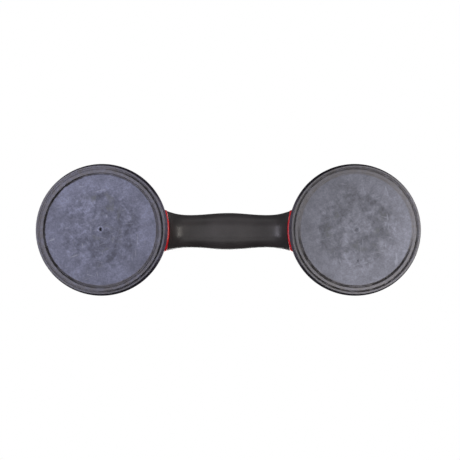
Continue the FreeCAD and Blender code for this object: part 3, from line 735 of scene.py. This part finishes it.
def return_spring(side_name, material):
    """Round-wire coil with a closed turn at each end, on the frame."""
    mean_radius = (spring_high.y - spring_low.y) / 2 - SPRING_WIRE / 2
    rise = spring_high.z - spring_low.z - SPRING_WIRE
    active = rise - 2 * SPRING_DEAD_PITCH
    turns = SPRING_ACTIVE_TURNS + 2
    steps, sides = SPRING_STEPS, SPRING_SIDES

    def height_at(turn):
        low = min(turn, 1.0) * SPRING_DEAD_PITCH
        share = min(max(turn - 1, 0), SPRING_ACTIVE_TURNS) / SPRING_ACTIVE_TURNS
        high = max(turn - 1 - SPRING_ACTIVE_TURNS, 0) * SPRING_DEAD_PITCH
        return spring_low.z + SPRING_WIRE / 2 + low + share * active + high

    vertices, faces = [], []
    for i in range(steps + 1):
        turn = turns * i / steps
        angle = 2 * math.pi * turn
        out = Vector((math.cos(angle), math.sin(angle), 0))
        centre = Vector((SIDES[side_name] * HUB_X, 0, height_at(turn))) + out * mean_radius
        for j in range(sides):
            around = 2 * math.pi * j / sides
            offset = out * math.cos(around) + Vector((0, 0, 1)) * math.sin(around)
            vertices.append(centre + offset * SPRING_WIRE / 2)
    for i in range(steps):
        for j in range(sides):
            k = (j + 1) % sides
            faces.append((i * sides + j, i * sides + k, (i + 1) * sides + k, (i + 1) * sides + j))
    faces.append(tuple(range(sides)))
    faces.append(tuple(reversed(range(steps * sides, (steps + 1) * sides))))
    coil = new_object(f"{side_name}_coil", vertices, faces)
    coil.data.materials.append(material)
    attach(coil, "frame")
    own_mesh(coil)
    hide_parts(f"{side_name}_return_spring")


# ---- Scene ----
FLOOR_REACH = 3.0
FLOOR_DROP = 0.2 * MM           # keeps the floor clear of the lips
FLOOR_FADE_START = 0.45
FLOOR_FADE_END = 1.30
CAMERA_LENS = 64.64             # millimetres, on a 36 mm sensor
CAMERA_PLACE = Vector((0.0015, 0.026, -0.7415))
CAMERA_AIM = Vector((0.00150, 0.0003, 0.0085))


def camera():
    """Camera below the tool, looking up, with +X to the right and -Y at the top."""
    lens = bpy.data.cameras.new("camera")
    lens.lens = CAMERA_LENS
    lens.sensor_width = 36
    made = bpy.data.objects.new("camera", lens)
    bpy.context.scene.collection.objects.link(made)
    back = (CAMERA_PLACE - CAMERA_AIM).normalized()
    right = (Vector((1, 0, 0)) - back * back.x).normalized()
    turn = Matrix((right, back.cross(right), back)).transposed()
    made.matrix_world = Matrix.Translation(CAMERA_PLACE) @ turn.to_4x4()
    bpy.context.scene.camera = made


def softbox(name, place, aim, size, power, colour=(1, 1, 1)):
    light = bpy.data.lights.new(name, "AREA")
    light.shape = "RECTANGLE"
    light.size, light.size_y = size
    light.energy = power
    light.color = colour
    made = bpy.data.objects.new(name, light)
    bpy.context.scene.collection.objects.link(made)
    made.location = place
    made.rotation_euler = (Vector(aim) - Vector(place)).to_track_quat("-Z", "Y").to_euler()
    made.visible_camera = False


def lights():
    middle = (0, 0, 0.02)
    softbox("below_main", (-0.15, 0.10, -1.60), middle, (1.40, 1.20), 4.5)
    softbox("below_front", (0, -1.30, -0.42), middle, (1.20, 0.30), 1.5)
    softbox("below_back", (0, 0.95, -0.95), middle, (1.20, 0.40), 2.4)
    softbox("below_left", (-0.95, 0.08, -1.10), middle, (0.45, 0.45), 7.8, (0.90, 0.87, 1.0))
    softbox("below_right", (0.95, 0.08, -1.10), middle, (0.45, 0.45), 7.8, (1.0, 0.95, 0.88))
    softbox("above_key", (0.85, -0.25, 1.15), middle, (0.70, 0.70), 11.0)
    softbox("above_fill", (-0.95, -0.10, 0.90), middle, (0.80, 0.80), 7.0)
    softbox("above_top", (-0.10, 0.30, 1.50), middle, (1.20, 0.80), 14.0)


def world():
    """White to the camera; as a light, bright from below and -Y, dark from above and +Y."""
    made = bpy.data.worlds.new("studio")
    made.use_nodes = True
    bpy.context.scene.world = made
    nodes, links = made.node_tree.nodes, made.node_tree.links
    nodes.clear()
    output = nodes.new("ShaderNodeOutputWorld")
    seen = nodes.new("ShaderNodeBackground")
    seen.inputs["Color"].default_value = (1, 1, 1, 1)
    felt = nodes.new("ShaderNodeBackground")
    facing = nodes.new("ShaderNodeVectorMath")
    facing.operation = "DOT_PRODUCT"
    links.new(nodes.new("ShaderNodeTexCoord").outputs["Generated"], facing.inputs[0])
    facing.inputs[1].default_value = (0, -0.45, -0.89)
    spread = nodes.new("ShaderNodeMapRange")
    links.new(facing.outputs["Value"], spread.inputs["Value"])
    spread.inputs["From Min"].default_value = -1
    spread.inputs["From Max"].default_value = 1
    ramp = nodes.new("ShaderNodeValToRGB")
    links.new(spread.outputs["Result"], ramp.inputs["Fac"])
    elements = ramp.color_ramp.elements
    elements[0].color = (0.07, 0.07, 0.07, 1)
    elements[1].color = (0.50, 0.50, 0.52, 1)
    elements.new(0.5).color = (0.14, 0.14, 0.145, 1)
    links.new(ramp.outputs["Color"], felt.inputs["Color"])
    choice = nodes.new("ShaderNodeMixShader")
    links.new(nodes.new("ShaderNodeLightPath").outputs["Is Camera Ray"], choice.inputs[0])
    links.new(felt.outputs[0], choice.inputs[1])
    links.new(seen.outputs[0], choice.inputs[2])
    links.new(choice.outputs[0], output.inputs["Surface"])


def floor():
    """Floor under the pads. It neither shades nor hides the tool from below."""
    corners = [(x * FLOOR_REACH, y * FLOOR_REACH, 0)
               for x, y in ((-1, -1), (1, -1), (1, 1), (-1, 1))]
    made = new_object("floor", corners, [(0, 1, 2, 3)])
    made.location.z = -FLOOR_DROP
    made.data.materials.append(floor_paper())
    for ray in ("shadow", "diffuse", "glossy", "transmission"):
        setattr(made, f"visible_{ray}", False)


# ---- Build ----
red = red_plastic()
grip = soft_grip()
nylon = black_nylon()
turned_steel = metal("turned_steel", (0.56, 0.55, 0.54), 0.30, 0.6 * MM, (1, 1, 6), 0.01 * MM)
plated_steel = metal("plated_steel", (0.60, 0.60, 0.62), 0.38, 1.5 * MM, (1, 1, 1), 0.01 * MM)
spring_steel = metal("spring_steel", (0.42, 0.42, 0.43), 0.34, 0.8 * MM, (1, 1, 3), 0.01 * MM)
brass = metal("bush_brass", (0.72, 0.52, 0.24), 0.32, 0.6 * MM, (1, 1, 5), 0.01 * MM)
hard_steel = metal("hard_steel", (0.50, 0.50, 0.51), 0.26, 1.0 * MM, (0.2, 1, 1), 0.015 * MM)

give(red, "body_frame")
give(grip, "grip_lower_shell", "grip_upper_shell")
give(plated_steel, "grip_screws")
for name in SIDES:
    suction_pad(name, rubber(name, LOOKS[name]))
    return_spring(name, spring_steel)
    give(nylon, f"{name}_lever")
    give(turned_steel, f"{name}_pull_stud", f"{name}_lever_pin")
    give(plated_steel, f"{name}_insert_plate", f"{name}_lock_nut")
    give(spring_steel, f"{name}_pin_clip")
    give(brass, f"{name}_guide_bush")
    give(hard_steel, f"{name}_wear_plate")

floor()
world()
lights()
camera()
bpy.context.scene.view_settings.view_transform = "Standard"

bpy.context.view_layer.update()
